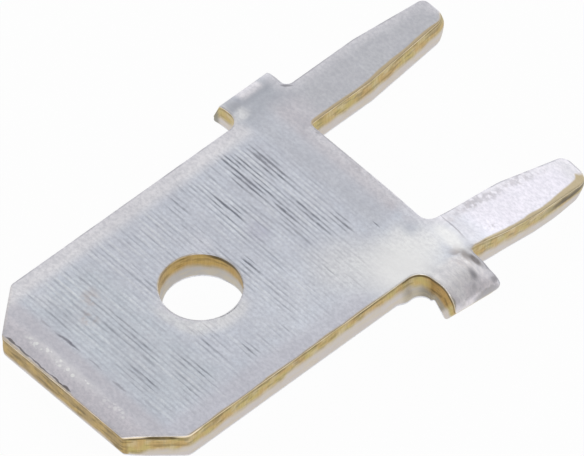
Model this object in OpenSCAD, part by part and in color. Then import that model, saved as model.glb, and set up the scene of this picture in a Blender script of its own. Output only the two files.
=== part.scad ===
// Flat tab terminal for a circuit board, stamped from one sheet.
// Across is X, the blade's tip points to -Y, the pins point to +Y.
// It lies at rest on its tip and on the end of its bent pin, with Z up.

/* [Sheet] */
// Thickness of the sheet
sheet_t = 0.8; // [0.6:0.05:1]

/* [Blade] */
// Width of the blade
blade_w = 6.3; // [5.6:0.1:7.5]
// Length of the blade, from its tip to the shoulders
blade_len = 8.45; // [7.5:0.05:11]
// Width that each clipped corner takes from the tip
corner_across = 1.1; // [0.5:0.05:1.6]
// Length that each clipped corner takes from the side
corner_along = 1.15; // [0.6:0.05:1.8]
// Rounding of the clipped corners' ends
corner_r = 0.12; // [0.05:0.01:0.2]
// Length of the pressed lead-in at the tip
lead_len = 0.4; // [0.2:0.05:0.6]
// Depth of the lead-in on each face
lead_depth = 0.09; // [0.03:0.01:0.15]

/* [Hole] */
// Diameter of the latching hole
hole_d = 2; // [1:0.05:2.6]
// Distance of the hole's centre from the tip
hole_from_tip = 4.37; // [3.4:0.01:5.6]

/* [Shoulders] */
// Length from the front of the shoulders to the edge between the pins
web_len = 1.15; // [0.8:0.05:1.6]
// Distance from that edge back to the rear of the left shoulder
left_step = 0.4; // [0.2:0.02:0.6]
// Distance from that edge back to the rear of the right shoulder
right_step = 0.24; // [0.2:0.02:0.6]
// Flat length of each shoulder beyond the side of the blade
shoulder_reach = 0.4; // [0.3:0.05:0.6]
// Rounding where a shoulder meets the blade
root_r = 0.35; // [0.1:0.05:0.5]
// Length of the curled stretch of the left shoulder
left_curl_len = 0.2; // [0.1:0.05:0.5]
// Length of the left shoulder's end beyond its curl
left_end_len = 0.44; // [0.2:0.02:0.8]
// Angle at which the left shoulder's end droops
left_droop = 4; // [0:1:30]
// Run of the left shoulder's slanted end face
left_slant_len = 0.3; // [0.02:0.02:0.4]
// Length over which the left shoulder's upper edge rolls off
left_roll_len = 0.3; // [0.1:0.05:0.5]
// Depth to which the left shoulder's upper edge rolls off
left_roll_depth = 0.12; // [0.02:0.02:0.4]
// Length of the curled stretch of the right shoulder
right_curl_len = 0.4; // [0.2:0.05:0.8]
// Length of the right shoulder's end beyond its curl
right_end_len = 0.54; // [0.2:0.02:0.7]
// Angle at which the right shoulder's end droops
right_droop = 33; // [0:1:40]
// Angle by which the right shoulder's end dips towards the pins
right_dip = 12; // [0:1:15]
// Run of the right shoulder's slanted end face
right_slant_len = 0.06; // [0.02:0.02:0.4]
// Length over which the right shoulder's upper edge rolls off
right_roll_len = 0.32; // [0.1:0.02:0.5]
// Depth to which the right shoulder's upper edge rolls off
right_roll_depth = 0.3; // [0.02:0.02:0.4]

/* [Pins] */
// Width of each pin at its root
pin_w = 1.2; // [1:0.05:1.5]
// Width of each pin at its tip
pin_tip_w = 0.78; // [0.6:0.02:0.96]
// Length of each pin, from the edge between the pins to its tip
pin_len = 4.64; // [3.5:0.02:6]
// Length of the narrowing end of each pin
pin_taper_len = 2.1; // [1:0.05:2.3]
// Rounding of the corners at a pin's tip
pin_tip_r = 0.2; // [0.1:0.01:0.29]
// Rounding of the inner corner at a pin's root
pin_root_r = 0.2; // [0.05:0.01:0.2]
// Gap between the pins at their roots
pin_gap = 4.31; // [3.9:0.01:4.5]
// Distance of the middle of that gap to the right of the blade's middle
pin_gap_shift = 0.14; // [0:0.01:0.2]

/* [Bent pin] */
// Angle at which the right pin dips
pin_dip = 20; // [0:1:25]
// Angle by which the right pin leans down to its outer side
pin_lean = 8.6; // [0:0.1:12]
// Angle by which the right pin points in towards the left pin
pin_sweep = 3.6; // [0:0.1:5]
// Flat length of the right pin behind the right shoulder
pin_flat_len = 0.04; // [0.02:0.01:0.3]
// Length of the stretch in which the right pin bends
pin_bend_len = 0.16; // [0.14:0.01:0.8]

/* [Hidden] */
lap = 0.4; // length that each bent strip starts inside the flat sheet
arc_steps = 6; // facets of a rounding
bend_steps = 8; // facets of a pin's bend
end_steps = 16; // facets of a shoulder's curled end
hole_facets = 64;
end_lip = 0.05; // thickness at the very end of a shoulder
blade_side = blade_w / 2;
flat_side = blade_side + shoulder_reach;
web_rear = blade_len + web_len;
left_rear = web_rear + left_step;
right_rear = web_rear + right_step;
left_pin_x = pin_gap_shift - (pin_gap + pin_w) / 2;
right_pin_x = pin_gap_shift + (pin_gap + pin_w) / 2;
bend_start = right_rear + pin_flat_len;

// Turning about each axis, and about X, Y and Z in that order
function about_x(a) = [[1, 0, 0], [0, cos(a), -sin(a)], [0, sin(a), cos(a)]];
function about_y(a) = [[cos(a), 0, sin(a)], [0, 1, 0], [-sin(a), 0, cos(a)]];
function about_z(a) = [[cos(a), -sin(a), 0], [sin(a), cos(a), 0], [0, 0, 1]];
function turned(angles) = about_z(angles.z) * about_y(angles.y) * about_x(angles.x);

// Turning that a strip has reached at the length s, where its bend runs on from lap for bend_len
function turn_at(s, bend_len, bend) = turned(bend * min(1, max(0, (s - lap) / bend_len)));

// Point of a strip's middle line at its step i; the strip starts along Y
function middle(at, bend_len, bend, i) =
    i == 0 ? [0, 0, sheet_t / 2]
    : middle(at, bend_len, bend, i - 1)
      + turn_at((at[i] + at[i - 1]) / 2, bend_len, bend) * [0, at[i] - at[i - 1], 0];

// Corners of a strip's section at each step: half_w gives the half widths, top the thicknesses
function sections(at, bend_len, bend, half_w, top) = [
    for (i = [0 : len(at) - 1])
        let(m = middle(at, bend_len, bend, i), r = turn_at(at[i], bend_len, bend), w = half_w[i])
            [for (c = [[-w, top[i]], [w, top[i]], [w, 0], [-w, 0]]) m + r * [c.x, 0, c.y - sheet_t / 2]]
];

// Half width of a pin at the distance d from its tip
function pin_half_w(d) =
    d >= pin_taper_len ? pin_w / 2
    : d >= pin_tip_r ? (pin_tip_w + (pin_w - pin_tip_w) * (d - pin_tip_r) / (pin_taper_len - pin_tip_r)) / 2
    : pin_tip_w / 2 - pin_tip_r + sqrt(pin_tip_r ^ 2 - (pin_tip_r - d) ^ 2);

// Distances from a pin's tip to the places where its outline changes, the farthest first
pin_stations = concat(
    [pin_taper_len],
    [for (i = [0 : arc_steps]) pin_tip_r * (1 - sin(90 * i / arc_steps))]
);

// Thickness at the distance d from a shoulder's end: a slanted end face, then an edge that rolls off
function end_t(d, slant_len, roll_len, roll_depth) =
    d < slant_len ? end_lip + (sheet_t - roll_depth - end_lip) * d / slant_len
    : d < slant_len + roll_len ? sheet_t - roll_depth * (1 - sqrt(1 - (1 - (d - slant_len) / roll_len) ^ 2))
    : sheet_t;

// Outline with rounded corners, from a list of [x, y, radius] that runs round it
function rounded(corners) = [
    for (i = [0 : len(corners) - 1])
        let(
            n = len(corners),
            p = [corners[i].x, corners[i].y],
            r = corners[i].z,
            a = [corners[(i + n - 1) % n].x, corners[(i + n - 1) % n].y] - p,
            b = [corners[(i + 1) % n].x, corners[(i + 1) % n].y] - p,
            u = a / norm(a),
            v = b / norm(b),
            half = acos(u * v) / 2,
            centre = p + (u + v) / norm(u + v) * r / sin(half),
            spoke = p + u * r / tan(half) - centre,
            swing = -sign(cross(u, v)) * (180 - 2 * half) / arc_steps
        )
        for (k = [0 : r == 0 ? 0 : arc_steps])
            centre + [
                spoke.x * cos(swing * k) - spoke.y * sin(swing * k),
                spoke.x * sin(swing * k) + spoke.y * cos(swing * k)
            ]
];

// Right pin: its steps and the corners of its sections, in the sheet's own frame
pin_reach = web_rear + pin_len - bend_start;
pin_at = concat(
    [0],
    [for (i = [0 : bend_steps]) lap + pin_bend_len * i / bend_steps],
    [for (d = pin_stations) lap + pin_reach - d]
);
pin_sections = [
    for (s = sections(
        pin_at,
        pin_bend_len,
        [-pin_dip, pin_lean, pin_sweep],
        [for (s = pin_at) pin_half_w(lap + pin_reach - s)],
        [for (s = pin_at) sheet_t]
    ))
        [for (p = s) p + [right_pin_x, bend_start - lap, 0]]
];

// Steps along a shoulder's end, from lap inside the flat sheet
function shoulder_at(curl_len, end_len) =
    concat([0], [for (i = [0 : end_steps]) lap + (curl_len + end_len) * i / end_steps]);

// Shoulder ends: the corners of their sections, where each starts along Y from the edge of the flat sheet
left_at = shoulder_at(left_curl_len, left_end_len);
left_end = left_at[end_steps + 1];
left_sections = sections(
    left_at,
    left_curl_len,
    [-left_droop, 0, 0],
    [for (s = left_at) (left_rear - blade_len) / 2],
    [for (s = left_at) end_t(left_end - s, left_slant_len, left_roll_len, left_roll_depth)]
);
right_at = shoulder_at(right_curl_len, right_end_len);
right_end = right_at[end_steps + 1];
right_sections = sections(
    right_at,
    right_curl_len,
    [-right_droop, -right_dip, 0],
    [for (s = right_at) (right_rear - blade_len) / 2],
    [for (s = right_at) end_t(right_end - s, right_slant_len, right_roll_len, right_roll_depth)]
);
left_reach = flat_side - lap + max([for (s = left_sections, p = s) p.y]);
right_reach = flat_side - lap + max([for (s = right_sections, p = s) p.y]);

// At rest the sheet leans on a lower edge of its tip and on the lowest corner of the bent pin
tip_edges = [[lead_len, 0], [0, lead_depth]];
rest_pitch = max([
    for (s = pin_sections, p = s) min([for (e = tip_edges) atan2(e.y - p.z, p.y - e.x)])
]);
rest_z = min([for (e = tip_edges) e.x * sin(rest_pitch) + e.y * cos(rest_pitch)]);
front_y = -(sheet_t - lead_depth) * sin(rest_pitch);
rear_y = (web_rear + pin_len) * cos(rest_pitch);

// A strip of the sheet that bends, from the sections at its steps
module strip(sections) {
    last = 4 * (len(sections) - 1);
    polyhedron(
        points = [for (s = sections) each s],
        faces = concat(
            [[0, 1, 2, 3], [last + 3, last + 2, last + 1, last]],
            [
                for (k = [0 : 4 : last - 4], j = [0 : 3])
                    [k + j, k + 4 + j, k + 4 + (j + 1) % 4, k + (j + 1) % 4]
            ]
        ),
        convexity = 4
    );
}

// Outline of what stays flat: the blade, the shoulder bar, the left pin and the root of the right pin
module flat_outline() {
    r = min(root_r, shoulder_reach);
    polygon(rounded([
        [-blade_side + corner_across, 0, corner_r],
        [blade_side - corner_across, 0, corner_r],
        [blade_side, corner_along, corner_r],
        [blade_side, blade_len, r],
        [flat_side, blade_len, 0],
        [flat_side, right_rear, 0],
        [right_pin_x - pin_w / 2, right_rear, 0],
        [right_pin_x - pin_w / 2, web_rear, pin_root_r],
        [left_pin_x + pin_w / 2, web_rear, pin_root_r],
        [left_pin_x + pin_w / 2, web_rear + pin_len - pin_taper_len, 0],
        [left_pin_x + pin_tip_w / 2, web_rear + pin_len, pin_tip_r],
        [left_pin_x - pin_tip_w / 2, web_rear + pin_len, pin_tip_r],
        [left_pin_x - pin_w / 2, web_rear + pin_len - pin_taper_len, 0],
        [left_pin_x - pin_w / 2, left_rear, pin_root_r],
        [-flat_side, left_rear, 0],
        [-flat_side, blade_len, 0],
        [-blade_side, blade_len, r],
        [-blade_side, corner_along, corner_r]
    ]));
}

// Wedge that is pressed off the upper face of the tip
module lead_wedge() {
    rotate([90, 0, 90])
        linear_extrude(blade_w, center = true)
            polygon([
                [2 * lead_len, sheet_t + lead_depth],
                [-lead_len, sheet_t - 2 * lead_depth],
                [-lead_len, sheet_t + lead_depth]
            ]);
}

// The sheet in its own frame: underside at z = 0, tip at y = 0, blade centred on x = 0
module sheet() {
    difference() {
        union() {
            linear_extrude(sheet_t) flat_outline();
            strip(pin_sections);
            translate([lap - flat_side, (blade_len + left_rear) / 2, 0])
                rotate([0, 0, 90])
                    strip(left_sections);
            translate([flat_side - lap, (blade_len + right_rear) / 2, 0])
                rotate([0, 0, -90])
                    strip(right_sections);
        }
        translate([0, hole_from_tip, sheet_t / 2])
            cylinder(h = 2 * sheet_t, d = hole_d, center = true, $fn = hole_facets);
        lead_wedge();
        translate([0, 0, sheet_t]) mirror([0, 0, 1]) lead_wedge();
    }
}

// The terminal as it lies at rest, centred over the middle of its lower side
module terminal() {
    color("silver")
        translate([(left_reach - right_reach) / 2, -(front_y + rear_y) / 2, -rest_z])
            rotate([rest_pitch, 0, 0])
                sheet();
}

terminal();
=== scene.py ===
# PCB tab terminal: a blade stamped from tinned brass sheet, with its right pin and right shoulder bent down
import math
import bpy
import numpy as np
from mathutils import Matrix, Vector, geometry, noise


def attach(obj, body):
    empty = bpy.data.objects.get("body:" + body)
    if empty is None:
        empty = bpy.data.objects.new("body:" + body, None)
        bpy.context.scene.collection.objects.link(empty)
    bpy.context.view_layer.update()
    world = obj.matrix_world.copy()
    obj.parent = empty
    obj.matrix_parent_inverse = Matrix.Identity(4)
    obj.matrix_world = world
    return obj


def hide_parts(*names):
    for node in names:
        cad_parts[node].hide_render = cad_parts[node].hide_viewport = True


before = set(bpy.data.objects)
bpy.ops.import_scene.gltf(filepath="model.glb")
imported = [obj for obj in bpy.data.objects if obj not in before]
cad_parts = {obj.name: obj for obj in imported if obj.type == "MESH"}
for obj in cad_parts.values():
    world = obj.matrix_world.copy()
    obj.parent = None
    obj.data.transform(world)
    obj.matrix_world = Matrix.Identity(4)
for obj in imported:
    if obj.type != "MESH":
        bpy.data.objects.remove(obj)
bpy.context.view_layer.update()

mmPerMetre = 1000
farOff = 99.0  # mm, farther than any part of the sheet
noHeight = 1000  # half size in z of a mask that doesn't depend on height

# The terminal in mm, in the sheet's own frame: underside at z = 0, tip at y = 0, blade centred on x = 0.
# Where a value has a left and a right part, the left one stands first. Boxes are x from, x to, y from, y to.
blank = {
    "thickness": 0.8,
    "leftSide": -3.15,
    "rightSide": 3.21,
    "bladeLength": 8.45,
    "tipLeft": (-2.12, -0.05),  # the tip's corners; the left one is pushed out a little
    "tipRight": (2.14, 0.0),
    "tipRounds": (0.22, 0.12),
    "cornerAlong": 1.15,
    "cornerRounds": (0.2, 0.3),
    "rootRounds": (0.35, 0.4),
    "rightRootBack": (0.09, 0.02),  # the right root lies farther back, at the blade and at its end
    "webRear": 9.63,
    "leftRear": 10.0,
    "leftEnd": 4.22,  # how far the shoulders reach while they are still flat
    "rightRear": 9.84,
    "rightEnd": 4.48,
    "rightEndRear": 10.02,
    "endRound": 0.08,
    "holeRadius": 1.0,
    "holeAcross": 1.02,
    "holeFromTip": 4.37,
}

leftPin = {
    "sides": (-3.215, -1.93),
    "rootRounds": (0.2, 0.12),
    "narrowFrom": (12.14, 11.6),
    "narrowRound": 1.2,
    "end": (-3.0, -2.2),
    "tip": (14.24, 14.25),
    "tipRounds": (0.2, 0.36),
}

rightPin = {
    "sides": (2.225, 3.495),
    "rootRounds": (0.3, 0.1),
    "narrowFrom": (12.14, 12.3),
    "narrowRound": 1.2,
    "end": (2.49, 3.37),
    "tip": (14.33, 14.3),
    "tipRounds": (0.26, 0.42),
}


def ease(t):
    t = np.clip(t, 0, 1)
    return t * t * (3 - 2 * t)


def rise(value, span):
    start, length = span
    return ease((value - start) / length)


def inBox(places, box):
    x, y = places[:, 0], places[:, 1]
    left, right, front, rear = box
    return (x > left) & (x < right) & (y > front) & (y < rear)


def roundedLoop(corners, step):
    # points and outward normals of an outline with rounded corners, anticlockwise, about a step apart
    points = []
    normals = []
    arcs = []
    for i, (x, y, r) in enumerate(corners):
        p = np.array([x, y])
        a = np.array(corners[i - 1][:2]) - p
        b = np.array(corners[(i + 1) % len(corners)][:2]) - p
        a = a / np.linalg.norm(a)
        b = b / np.linalg.norm(b)
        half = math.acos(float(a @ b)) / 2
        side = 1 if a[0] * b[1] - a[1] * b[0] < 0 else -1
        centre = p + (a + b) / np.linalg.norm(a + b) * r / math.sin(half)
        first = p + a * r / math.tan(half) - centre
        begin = math.atan2(first[1], first[0])
        sweep = (math.pi - 2 * half) * side
        count = max(3, math.ceil(abs(sweep) * r / step))
        spokes = [np.array([math.cos(begin + sweep * k / count), math.sin(begin + sweep * k / count)])
                  for k in range(count + 1)]
        arcs.append(([centre + r * s for s in spokes], [side * s for s in spokes]))
    for i, (arcPoints, arcNormals) in enumerate(arcs):
        points += arcPoints
        normals += arcNormals
        run = arcs[(i + 1) % len(arcs)][0][0] - arcPoints[-1]
        length = np.linalg.norm(run)
        count = max(1, math.ceil(length / step))
        for k in range(1, count):
            points.append(arcPoints[-1] + run * k / count)
            normals.append(np.array([run[1], -run[0]]) / length)
    return np.array(points), np.array(normals)


def outlineCorners():
    b, left, right = blank, leftPin, rightPin

    def pinCorners(pin):
        return [
            (pin["sides"][1], pin["narrowFrom"][1], pin["narrowRound"]),
            (pin["end"][1], pin["tip"][1], pin["tipRounds"][1]),
            (pin["end"][0], pin["tip"][0], pin["tipRounds"][0]),
            (pin["sides"][0], pin["narrowFrom"][0], pin["narrowRound"]),
        ]

    return [
        (*b["tipLeft"], b["tipRounds"][0]),
        (*b["tipRight"], b["tipRounds"][1]),
        (b["rightSide"], b["cornerAlong"], b["cornerRounds"][1]),
        (b["rightSide"], b["bladeLength"] + b["rightRootBack"][0], b["rootRounds"][1]),
        (b["rightEnd"], b["bladeLength"] + b["rightRootBack"][1], b["endRound"]),
        (b["rightEnd"], b["rightEndRear"], b["endRound"]),
        (right["sides"][1], b["rightRear"], right["rootRounds"][1]),
        *pinCorners(right),
        (right["sides"][0], b["webRear"], right["rootRounds"][0]),
        (left["sides"][1], b["webRear"], left["rootRounds"][1]),
        *pinCorners(left),
        (left["sides"][0], b["leftRear"], left["rootRounds"][0]),
        (-b["leftEnd"], b["leftRear"], b["endRound"]),
        (-b["leftEnd"], b["bladeLength"], b["endRound"]),
        (b["leftSide"], b["bladeLength"], b["rootRounds"][0]),
        (b["leftSide"], b["cornerAlong"], b["cornerRounds"][0]),
    ]


def holeLoop(step):
    b = blank
    count = math.ceil(2 * math.pi * b["holeRadius"] / step)
    angles = -2 * math.pi * np.arange(count) / count  # clockwise, so that the metal stays on the left
    spokes = np.stack([np.cos(angles), np.sin(angles)], 1)
    wide = b["holeAcross"]
    places = spokes * [wide, 1] * b["holeRadius"] + [wide - 1, b["holeFromTip"]]
    return places, -spokes


sheared = {
    # going down the sheared edge: inset from the outline, height above the underside
    "profile": [
        (0.05, 0.8), (0.028, 0.8), (0.012, 0.797), (0.003, 0.789), (0.0, 0.772), (0.002, 0.74),
        (0.005, 0.68), (0.007, 0.61), (0.006, 0.54), (0.003, 0.46), (0.0, 0.38), (0.0, 0.28),
        (0.0, 0.19), (0.002, 0.11), (0.008, 0.055), (0.022, 0.02), (0.05, 0.0),
    ],
    "wallRings": (4, 13),  # first and last
    "tornRings": (4, 9),
    "tornRough": 0.005,  # ripple of the torn rings
    "smoothRough": 0.00125,
    "rippleScale": (5, 0.6),  # along the edge, and from ring to ring
    "rippleInset": 0.02,  # rings farther in than this don't ripple
    "rimLift": 0.8,
    # places where the edge flares out towards the underside: x, y, reach, depth
    "flares": [(-0.3, 4.4, 1.17, 0.06), (3.45, 8.24, 0.58, 0.1)],
    "flareFrom": 0.55,  # share of the height
    "flareOver": 0.5,
    "flareSoft": 0.25,
    "outlineSeed": 0.3,
    "holeSeed": 7.3,
}


def edgeRings(points, normals, seed):
    # rings down the sheared edge, each point with four marks: on the wall or not, share of the height, length
    # along the edge, inset from the rim
    e = sheared
    thickness = blank["thickness"]
    firstWall, lastWall = e["wallRings"]
    firstTorn, lastTorn = e["tornRings"]
    alongScale, ringScale = e["rippleScale"]
    steps = np.linalg.norm(np.roll(points, -1, 0) - points, axis=1)
    along = np.concatenate([[0], np.cumsum(steps)[:-1]])
    places, marks = [], []
    for ring, (inset, height) in enumerate(e["profile"]):
        rough = e["tornRough"] if firstTorn <= ring <= lastTorn else e["smoothRough"]
        waves = [noise.noise(Vector((s * alongScale, ring * ringScale, seed))) for s in along]
        ripple = np.array(waves) * rough
        gap = inset + ripple * (inset < e["rippleInset"])
        low = ease((e["flareFrom"] - height / thickness) / e["flareOver"])
        for x, y, reach, depth in e["flares"]:
            near = np.hypot(points[:, 0] - x, points[:, 1] - y)
            gap = gap - depth * low * ease((reach - near) / e["flareSoft"])
        flat = points - normals * gap[:, None]
        lift = ripple * e["rimLift"] if ring == firstWall - 1 else ripple * 0
        places.append(np.column_stack([flat, height + lift]))
        wall = 1.0 if firstWall <= ring <= lastWall else 0.0
        mark = np.full((len(points), 4), [wall, height / thickness, 0, inset])
        mark[:, 2] = along
        marks.append(mark)
    return np.array(places), np.array(marks)


def rimDistance(grid, loop):
    ends = np.roll(loop, -1, 0) - loop
    best = np.full(len(grid), farOff)
    for start, run in zip(loop, ends):
        share = np.clip(((grid - start) @ run) / (run @ run), 0, 1)
        best = np.minimum(best, np.linalg.norm(grid - start - share[:, None] * run, axis=1))
    return best


def nearest(grid, places):
    return np.array([np.argmin(((places - p) ** 2).sum(1)) for p in grid])


def insideLoop(grid, loop):
    x, y = grid[:, 0], grid[:, 1]
    inside = np.zeros(len(grid), bool)
    for (ax, ay), (bx, by) in zip(loop, np.roll(loop, -1, 0)):
        if ay == by:
            continue
        crosses = (ay > y) != (by > y)
        inside ^= crosses & (x < ax + (y - ay) * (bx - ax) / (by - ay))
    return inside


meshing = {
    "outlineStep": 0.05,
    "gridBox": (-4.6, 4.6, -0.2, 14.5),
    "gridStep": 0.11,
    "fineStep": 0.055,
    "fineBoxes": [  # where the sheet is bent or pressed
        (3.25, farOff, -farOff, farOff), (-farOff, -3.3, -farOff, farOff), (2.2, farOff, 9.5, 10.3),
        (-farOff, farOff, -farOff, 0.6), (-farOff, farOff, 13.7, farOff),
    ],
    "rimMargin": 0.035,
    "holeMargin": 0.05,
    "mergeGap": 1e-6,
    "bendStep": 0.005,
    "sharpAngle": 38,
}


def faceGrid(loop):
    # points of the flat faces between the rims, closer together where the sheet is bent or pressed
    m = meshing

    def lattice(step):
        left, right, front, rear = m["gridBox"]
        rows = np.arange(front, rear, step)
        x, y = np.meshgrid(np.arange(left, right, step), rows)
        x = x + (np.arange(len(rows)) % 2)[:, None] * step / 2
        return np.column_stack([x.ravel(), y.ravel()])

    def bent(places):
        return np.any([inBox(places, box) for box in m["fineBoxes"]], axis=0)

    coarse = lattice(m["gridStep"])
    fine = lattice(m["fineStep"])
    grid = np.concatenate([coarse[~bent(coarse)], fine[bent(fine)]])
    grid = grid[insideLoop(grid, loop)]
    gap = rimDistance(grid, loop)
    fromHole = np.linalg.norm(grid - [0, blank["holeFromTip"]], axis=1) - blank["holeRadius"]
    gap = np.minimum(gap, fromHole)
    keep = gap > sheared["profile"][0][0] + m["rimMargin"]
    return grid[keep], gap[keep]


pressing = {
    "pinsFrom": 10.3,  # only the pins lie farther back than this
    "leadLength": 0.55,  # pressed lead-in at the tip
    "leadCurve": 1.5,
    "leadTop": 0.06,
    "leadUnder": 0.09,
    "rollFrom": 3.6,  # the shoulders roll off outside this
    "endLip": 0.08,
    "leftSlant": 0.3,
    "leftRoll": (0.3, 0.12),  # length, depth
    "rightRoll": (0.34, 0.28),
    "pressDepth": 0.1,  # rear edge of the right shoulder, pressed down beside the pin
    "pressAlong": 0.6,
    "pressFrom": (3.4, 0.3),  # from x, over
    "pressFadeFrom": (3.7, 0.75),
    "pressFade": 0.75,
    "dents": [  # x, y, radius, depth
        (4.12, 9.3, 0.16, 0.02), (4.2, 9.05, 0.12, 0.015),
        (3.95, 9.12, 0.1, 0.012), (4.3, 9.45, 0.1, 0.012),
    ],
    "pinEndFrom": (13.89, 0.35),  # from y, over
    "pinBulge": 0.11,  # end faces of the pins bulge out below their upper edge
    "pinLift": 0.09,
    "flatShare": 0.005,  # nearer to a face than this share of the thickness, nothing bulges
    "wearFrom": (13.0, 1.3),
    "pinWear": 0.2,  # the bent pin's end is thinner from below
    "sagFrom": (0.7, 8.5),  # the sheet sags from here into the corner before the bent pin
    "sagAcross": 1.5,
    "sagCurve": 0.05,
}


def endThickness(gap, slant, roll):
    # share of the thickness left at a gap from a shoulder's end: slanted face first, then a rounded roll-off
    rollLength, rollDepth = roll
    t = blank["thickness"]
    lip = pressing["endLip"]
    rolled = t - rollDepth * (1 - np.sqrt(1 - (1 - np.clip((gap - slant) / rollLength, 0, 1)) ** 2))
    if slant > 0:
        slanted = lip + (t - rollDepth - lip) * np.clip(gap / slant, 0, 1)
        rolled = np.where(gap < slant, slanted, rolled)
    return rolled / t


def pressed(p):
    # changes of thickness and level that are made before the bends
    x, y, z = p[:, 0].copy(), p[:, 1].copy(), p[:, 2].copy()
    b, s = blank, pressing
    share = z / b["thickness"]
    beforePins = y < s["pinsFrom"]
    lead = (1 - np.clip((y - b["tipLeft"][1]) / s["leadLength"], 0, 1)) ** s["leadCurve"]
    z = z - share * lead * s["leadTop"] + lead * s["leadUnder"] * (1 - share)
    onLeft = x < -s["rollFrom"]
    onRight = (x > s["rollFrom"]) & beforePins
    z = np.where(onLeft, z * endThickness(x + b["leftEnd"], s["leftSlant"], s["leftRoll"]), z)
    z = np.where(onRight, z * endThickness(b["rightEnd"] - x, 0, s["rightRoll"]), z)
    rear = ease((y - (b["rightRear"] - s["pressAlong"])) / s["pressAlong"]) * beforePins
    across = rise(x, s["pressFrom"]) * (1 - s["pressFade"] * rise(x, s["pressFadeFrom"]))
    z = z - share * s["pressDepth"] * rear * across
    for dx, dy, radius, depth in s["dents"]:
        z = z - share * depth * np.exp(-((x - dx) ** 2 + (y - dy) ** 2) / radius ** 2)
    pinEnd = rise(y, s["pinEndFrom"])
    between = (share < 1 - s["flatShare"]) & (share > s["flatShare"])
    y = y + pinEnd * s["pinBulge"] * np.sin(np.pi * np.clip(share, 0, 1)) * between
    z = z + pinEnd * s["pinLift"] * (1 - share)
    z = z + rise(y, s["wearFrom"]) * (x > 0) * s["pinWear"] * (1 - share)
    past = np.clip(y - s["sagFrom"][1], 0, None)
    curved = np.minimum(past, b["rightRear"] - s["sagFrom"][1])
    sag = s["sagCurve"] * curved * (2 * past - curved)
    z = z - sag * ease((x - s["sagFrom"][0]) / s["sagAcross"])
    return np.column_stack([x, y, z])


# Each bent strip: what belongs to it, where it leaves the sheet, which way it heads, where its bend starts,
# how long the bend is, and its angles
bends = {
    "rightShoulder": {
        "box": (3.5, farOff, 8.3, 10.3), "origin": (3.55, 9.145), "heading": -90,
        "start": 0.02, "lengths": (0.42, 0.42, 0.42), "turn": (-33, -8, 0),
    },
    "leftShoulder": {
        "box": (-farOff, -3.5, 8.3, 10.1), "origin": (-3.55, 9.225), "heading": 90,
        "start": -0.05, "lengths": (0.3, 0.3, 0.3), "turn": (-4, 0, 0),
    },
    "rightPin": {
        "box": (2.0, 3.5, 9.84, farOff), "origin": (2.895, 9.88), "heading": 0,
        "start": -0.03, "lengths": (0.09, 1.5, 0.09), "turn": (-11.1, 8.8, 3.6),
    },
}


def turned(ax, ay, az):
    return np.array(Matrix.Rotation(math.radians(az), 3, "Z")
                    @ Matrix.Rotation(math.radians(ay), 3, "Y")
                    @ Matrix.Rotation(math.radians(ax), 3, "X"))


def bendStrip(p, chosen, bend):
    step = meshing["bendStep"]
    half = blank["thickness"] / 2
    origin = np.array([*bend["origin"], half])
    out = turned(0, 0, bend["heading"])
    local = (p[chosen] - origin) @ out
    s = np.arange(bend["start"], local[:, 1].max() + 2 * step, step)
    shares = ease((s[:, None] - bend["start"]) / np.array(bend["lengths"]))
    turns = np.array([turned(*angles) for angles in shares * bend["turn"]])
    runs = turns[:, :, 1] * step
    middle = np.concatenate([[[0, bend["start"], 0]],
                             [0, bend["start"], 0] + np.cumsum((runs[1:] + runs[:-1]) / 2, 0)])
    past = local[:, 1] > bend["start"]
    q = local[past]
    at = np.stack([np.interp(q[:, 1], s, middle[:, k]) for k in range(3)], 1)
    for column, value in ((0, q[:, 0]), (2, q[:, 2])):
        axis = np.stack([np.interp(q[:, 1], s, turns[:, k, column]) for k in range(3)], 1)
        at = at + axis * value[:, None]
    local[past] = at
    p = p.copy()
    p[chosen] = local @ out.T + origin
    return p


# How the sheet lies at rest
lie = {"pitch": 6.18504, "shift": (-0.133105, -7.04031, -0.0430959)}


def shaped(flat):
    p = pressed(flat)
    for bend in bends.values():
        p = bendStrip(p, inBox(flat, bend["box"]), bend)
    return (p @ turned(lie["pitch"], 0, 0).T + np.array(lie["shift"])) / mmPerMetre


def addObject(name, data):
    made = bpy.data.objects.new(name, data)
    bpy.context.scene.collection.objects.link(made)
    return made


def addAttribute(mesh, name, kind, values):
    field = mesh.attributes.new(name, kind, "POINT")
    slot = "vector" if kind == "FLOAT_VECTOR" else "value"
    field.data.foreach_set(slot, np.asarray(values, np.float32).ravel())


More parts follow.
